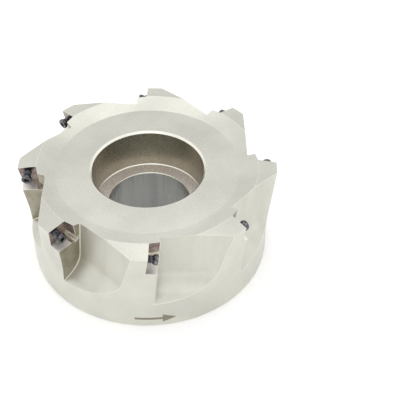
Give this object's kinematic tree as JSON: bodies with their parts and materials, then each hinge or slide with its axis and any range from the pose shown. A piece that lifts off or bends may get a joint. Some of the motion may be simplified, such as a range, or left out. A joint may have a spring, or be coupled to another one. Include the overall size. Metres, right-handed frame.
{
  "type": "indexable face mill",
  "caption": "Nickel-plated face mill body with an arbor bore, chip gullets and open insert pockets, each holding a black clamping screw.",
  "frame": {"origin": "centre of the back face, the face that seats on the arbor and stands on the table", "axes": "+Z along the spindle axis towards the cutting face, +X along the radius of tooth 1, the cutter turns about +Z by the right-hand rule"},
  "size_m": [0.1508, 0.1508, 0.0609],
  "materials": {
    "nickel_plated_steel": "satin nickel plating over turned and milled steel",
    "black_oxide_steel": "black oxide, lightly oiled"
  },
  "bodies": {
    "cutter": {"cutter_body": "nickel_plated_steel"},
    "insert_screw_1": {"insert_screw_1": "black_oxide_steel"},
    "insert_screw_2": {"insert_screw_2": "black_oxide_steel"},
    "insert_screw_3": {"insert_screw_3": "black_oxide_steel"},
    "insert_screw_4": {"insert_screw_4": "black_oxide_steel"},
    "insert_screw_5": {"insert_screw_5": "black_oxide_steel"},
    "insert_screw_6": {"insert_screw_6": "black_oxide_steel"},
    "insert_screw_7": {"insert_screw_7": "black_oxide_steel"},
    "insert_screw_8": {"insert_screw_8": "black_oxide_steel"}
  },
  "joints": [
    {"name": "screw_1_draw_out", "type": "slide", "parent": "cutter", "child": "insert_screw_1", "axis": [0.0445, 0.988, -0.1482], "range_m": [-0.001, 0.007]},
    {"name": "screw_2_draw_out", "type": "slide", "parent": "cutter", "child": "insert_screw_2", "axis": [-0.6672, 0.73, -0.1482], "range_m": [-0.001, 0.007]},
    {"name": "screw_3_draw_out", "type": "slide", "parent": "cutter", "child": "insert_screw_3", "axis": [-0.988, 0.0445, -0.1482], "range_m": [-0.001, 0.007]},
    {"name": "screw_4_draw_out", "type": "slide", "parent": "cutter", "child": "insert_screw_4", "axis": [-0.73, -0.6672, -0.1482], "range_m": [-0.001, 0.007]},
    {"name": "screw_5_draw_out", "type": "slide", "parent": "cutter", "child": "insert_screw_5", "axis": [-0.0445, -0.988, -0.1482], "range_m": [-0.001, 0.007]},
    {"name": "screw_6_draw_out", "type": "slide", "parent": "cutter", "child": "insert_screw_6", "axis": [0.6672, -0.73, -0.1482], "range_m": [-0.001, 0.007]},
    {"name": "screw_7_draw_out", "type": "slide", "parent": "cutter", "child": "insert_screw_7", "axis": [0.988, -0.0445, -0.1482], "range_m": [-0.001, 0.007]},
    {"name": "screw_8_draw_out", "type": "slide", "parent": "cutter", "child": "insert_screw_8", "axis": [0.73, 0.6672, -0.1482], "range_m": [-0.001, 0.007]}
  ]
}
